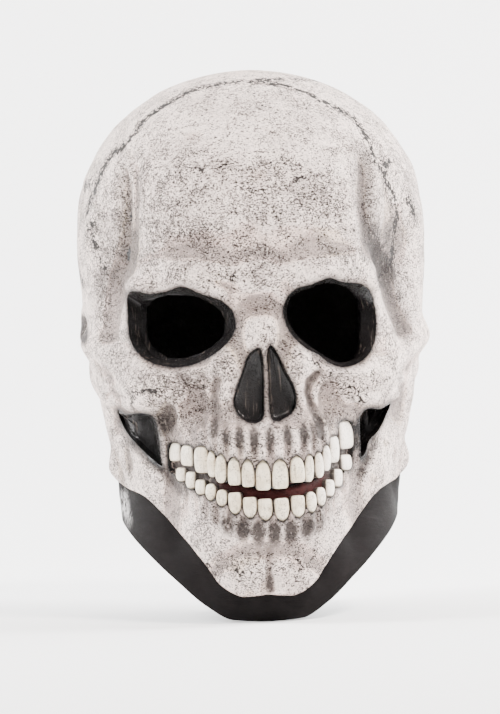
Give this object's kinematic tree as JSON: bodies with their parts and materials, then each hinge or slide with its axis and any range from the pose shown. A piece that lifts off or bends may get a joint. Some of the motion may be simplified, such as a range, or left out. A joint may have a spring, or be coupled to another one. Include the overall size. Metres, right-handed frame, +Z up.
{
  "type": "skull mask",
  "caption": "Full-head cast latex mask shaped as a human skull, with open eye sockets, a breathing slit between the teeth and a black neck skirt.",
  "frame": {"origin": "highest point of the inside of the crown, where the mask rests on the head", "axes": "+Z up, the face looks along -Y, +X to the right of someone looking at the face"},
  "size_m": [0.184, 0.2306, 0.2865],
  "materials": {
    "bone_latex": "sponged bone-white paint over black latex, matt, with dark pits and glossy black sockets",
    "black_latex": "glossy black latex",
    "tooth_latex": "satin ivory paint with dark lines between the teeth"
  },
  "bodies": {
    "root": {"skull_shell": "bone_latex", "neck_skirt": "black_latex", "upper_teeth": "tooth_latex", "lower_teeth": "tooth_latex"}
  },
  "joints": []
}
